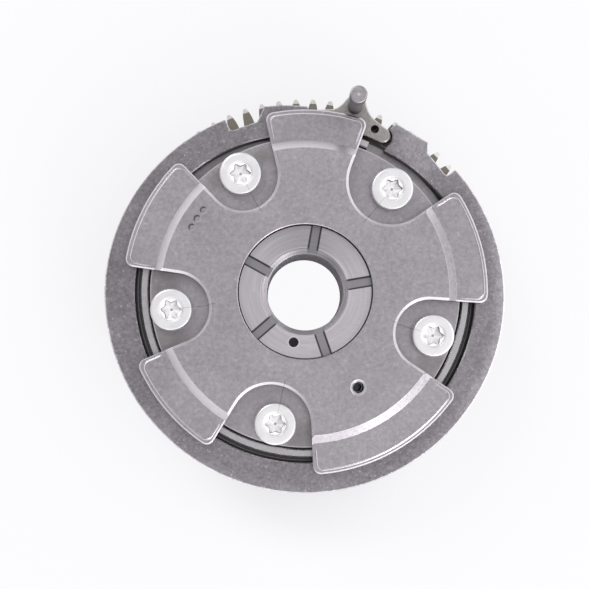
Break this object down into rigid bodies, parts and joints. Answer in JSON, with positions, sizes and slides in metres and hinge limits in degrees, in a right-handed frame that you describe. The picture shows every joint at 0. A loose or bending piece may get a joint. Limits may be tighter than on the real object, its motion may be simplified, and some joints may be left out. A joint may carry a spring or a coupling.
{
  "type": "cam phaser",
  "caption": "Vane-type cam phaser with a split drive gear, an open spring ring with its lever and peg, and a bolted cover with windows.",
  "frame": {"origin": "on the cam axis in the plane of the rear face", "axes": "+Z along the cam axis from the rear face to the cover, +X and +Y across it"},
  "size_m": [0.1205, 0.1199, 0.0464],
  "materials": {
    "cover_steel": "tumbled bare steel, warm grey",
    "stator_steel": "machined bare steel",
    "gear_steel": "hardened steel, brownish grey",
    "ring_steel": "speckled dark grey steel",
    "lever_steel": "tumbled steel, olive grey",
    "rotor_steel": "finely turned steel",
    "pin_steel": "ground steel",
    "spring_steel": "spring wire and strip",
    "seal_strip": "dark sealing strip",
    "bolt_zinc": "bright white zinc"
  },
  "bodies": {
    "housing": {"drive_gear": "gear_steel", "stator": "stator_steel", "front_cover": "cover_steel", "preload_ring": "ring_steel", "lock_bush": "pin_steel", "cover_bolt_1": "bolt_zinc", "cover_bolt_2": "bolt_zinc", "cover_bolt_3": "bolt_zinc", "cover_bolt_4": "bolt_zinc", "cover_bolt_5": "bolt_zinc"},
    "rotor": {"rotor": "rotor_steel", "lock_spring_cap": "pin_steel", "lock_spring": "spring_steel", "vane_seal_1": "seal_strip", "vane_seal_2": "seal_strip", "vane_seal_3": "seal_strip", "vane_seal_4": "seal_strip", "vane_seal_5": "seal_strip", "seal_spring_1": "spring_steel", "seal_spring_2": "spring_steel", "seal_spring_3": "spring_steel", "seal_spring_4": "spring_steel", "seal_spring_5": "spring_steel"},
    "lock_pin": {"lock_pin": "pin_steel"},
    "backlash": {"backlash_gear": "gear_steel", "tension_lever": "lever_steel", "lever_peg": "lever_steel", "lever_rivet": "lever_steel"}
  },
  "joints": [
    {"name": "rotor_phase", "type": "hinge", "parent": "housing", "child": "rotor", "pos_m": [0, 0, 0], "axis": [0, 0, 1], "range_deg": [-11, 11]},
    {"name": "backlash_turn", "type": "hinge", "parent": "housing", "child": "backlash", "pos_m": [0, 0, 0], "axis": [0, 0, 1], "range_deg": [-0.5, 0.5], "stiffness_Nm_per_rad": 5},
    {"name": "lock_pin_slide", "type": "slide", "parent": "rotor", "child": "lock_pin", "axis": [0, 0, 1], "range_m": [0, 0.001], "stiffness_N_per_m": 300, "springref_m": -0.004, "deforming": ["lock_spring"]}
  ]
}
